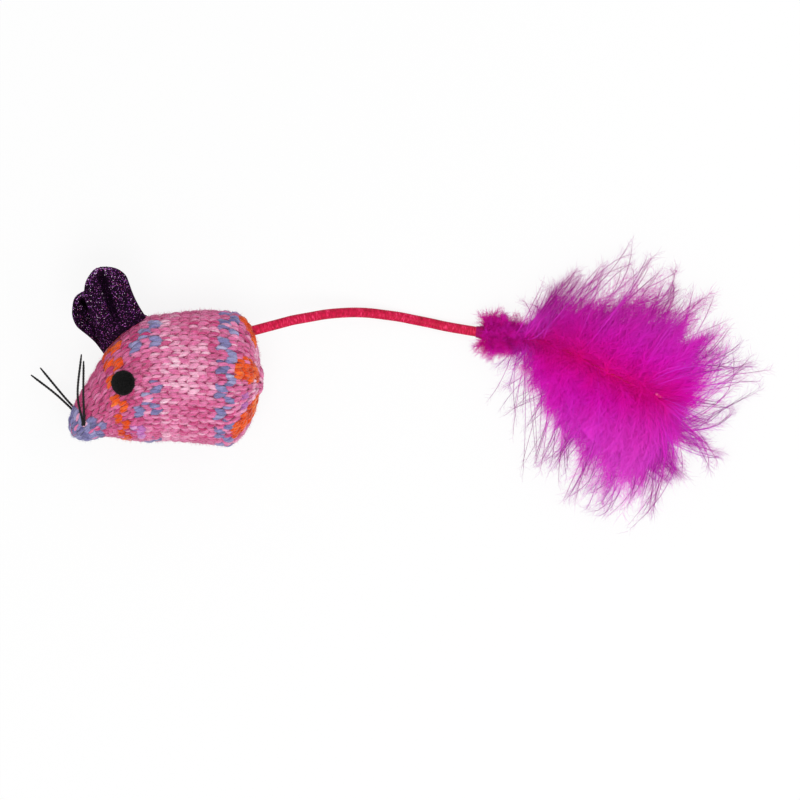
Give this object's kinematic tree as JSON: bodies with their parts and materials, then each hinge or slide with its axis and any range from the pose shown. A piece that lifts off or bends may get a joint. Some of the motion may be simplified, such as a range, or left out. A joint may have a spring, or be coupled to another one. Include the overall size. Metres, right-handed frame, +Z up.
{
  "type": "catnip mouse",
  "caption": "Knitted stuffed mouse toy with fabric ears, thread whiskers, felt eyes, a satin cord tail and a feather plume.",
  "frame": {"origin": "on the flat patch of the right flank that rests on the table", "axes": "+X from the nose to the plume, +Y to the mouse's back, +Z up, to its left flank"},
  "size_m": [0.2372, 0.0809, 0.0384],
  "materials": {
    "knit_yarn": "matte knitted yarn, pink with slate blue and orange stitches",
    "fibre_fill": "loose polyester fibre",
    "sachet_cloth": "thin cloth pouch of dried catnip",
    "felt": "black felt",
    "glitter_fabric": "dark plum fabric with glitter flecks",
    "waxed_thread": "black waxed thread",
    "satin_cord": "crimson satin cord",
    "whipping_thread": "wound thread",
    "quill": "dyed feather shaft",
    "marabou": "dyed marabou down"
  },
  "bodies": {
    "mouse": {"knit_body": "knit_yarn", "closing_gather": "knit_yarn", "stuffing_front": "fibre_fill", "stuffing_rear": "fibre_fill", "catnip_sachet": "sachet_cloth", "left_eye": "felt", "right_eye": "felt", "tail_anchor": "satin_cord"},
    "left_ear": {"left_ear": "glitter_fabric"},
    "right_ear": {"right_ear": "glitter_fabric"},
    "left_whiskers": {"left_whisker_front": "waxed_thread", "left_whisker_rear": "waxed_thread"},
    "right_whiskers": {"right_whisker_front": "waxed_thread", "right_whisker_rear": "waxed_thread"},
    "tail_root": {"tail_root": "satin_cord"},
    "tail": {"tail_cord": "satin_cord"},
    "plume": {"plume_binding": "whipping_thread", "plume_tuft": "marabou", "top_quill": "quill", "under_quill": "quill", "top_down": "marabou", "under_down": "marabou"}
  },
  "joints": [
    {"name": "left_ear_flop", "type": "hinge", "parent": "mouse", "child": "left_ear", "pos_m": [-0.01569, 0.01765, 0.02588], "axis": [0.7049, 0.7031, 0.0937], "range_deg": [0, 60], "stiffness_Nm_per_rad": 0.002},
    {"name": "right_ear_flop", "type": "hinge", "parent": "mouse", "child": "right_ear", "pos_m": [-0.01569, 0.01765, 0.01152], "axis": [0.7049, 0.7031, -0.0937], "range_deg": [-50, 0], "stiffness_Nm_per_rad": 0.002},
    {"name": "left_whisker_sweep", "type": "hinge", "parent": "mouse", "child": "left_whiskers", "pos_m": [-0.02832, -0.01221, 0.02659], "axis": [0, 0, 1], "range_deg": [-20, 60], "stiffness_Nm_per_rad": 0.00002},
    {"name": "right_whisker_sweep", "type": "hinge", "parent": "mouse", "child": "right_whiskers", "pos_m": [-0.02832, -0.01221, 0.01081], "axis": [0, 0, 1], "range_deg": [-25, 35], "stiffness_Nm_per_rad": 0.00002},
    {"name": "tail_swing", "type": "hinge", "parent": "mouse", "child": "tail_root", "pos_m": [0.02911, 0.01833, 0.0187], "axis": [0, 0, 1], "range_deg": [-50, 50]},
    {"name": "tail_lift", "type": "hinge", "parent": "tail_root", "child": "tail", "pos_m": [0.03941, 0.02109, 0.01643], "axis": [0.2588, -0.9659, 0], "range_deg": [0, 70]},
    {"name": "plume_swing", "type": "hinge", "parent": "tail", "child": "plume", "pos_m": [0.10335, 0.01779, 0.00351], "axis": [0, 0, 1], "range_deg": [-55, 55]}
  ]
}
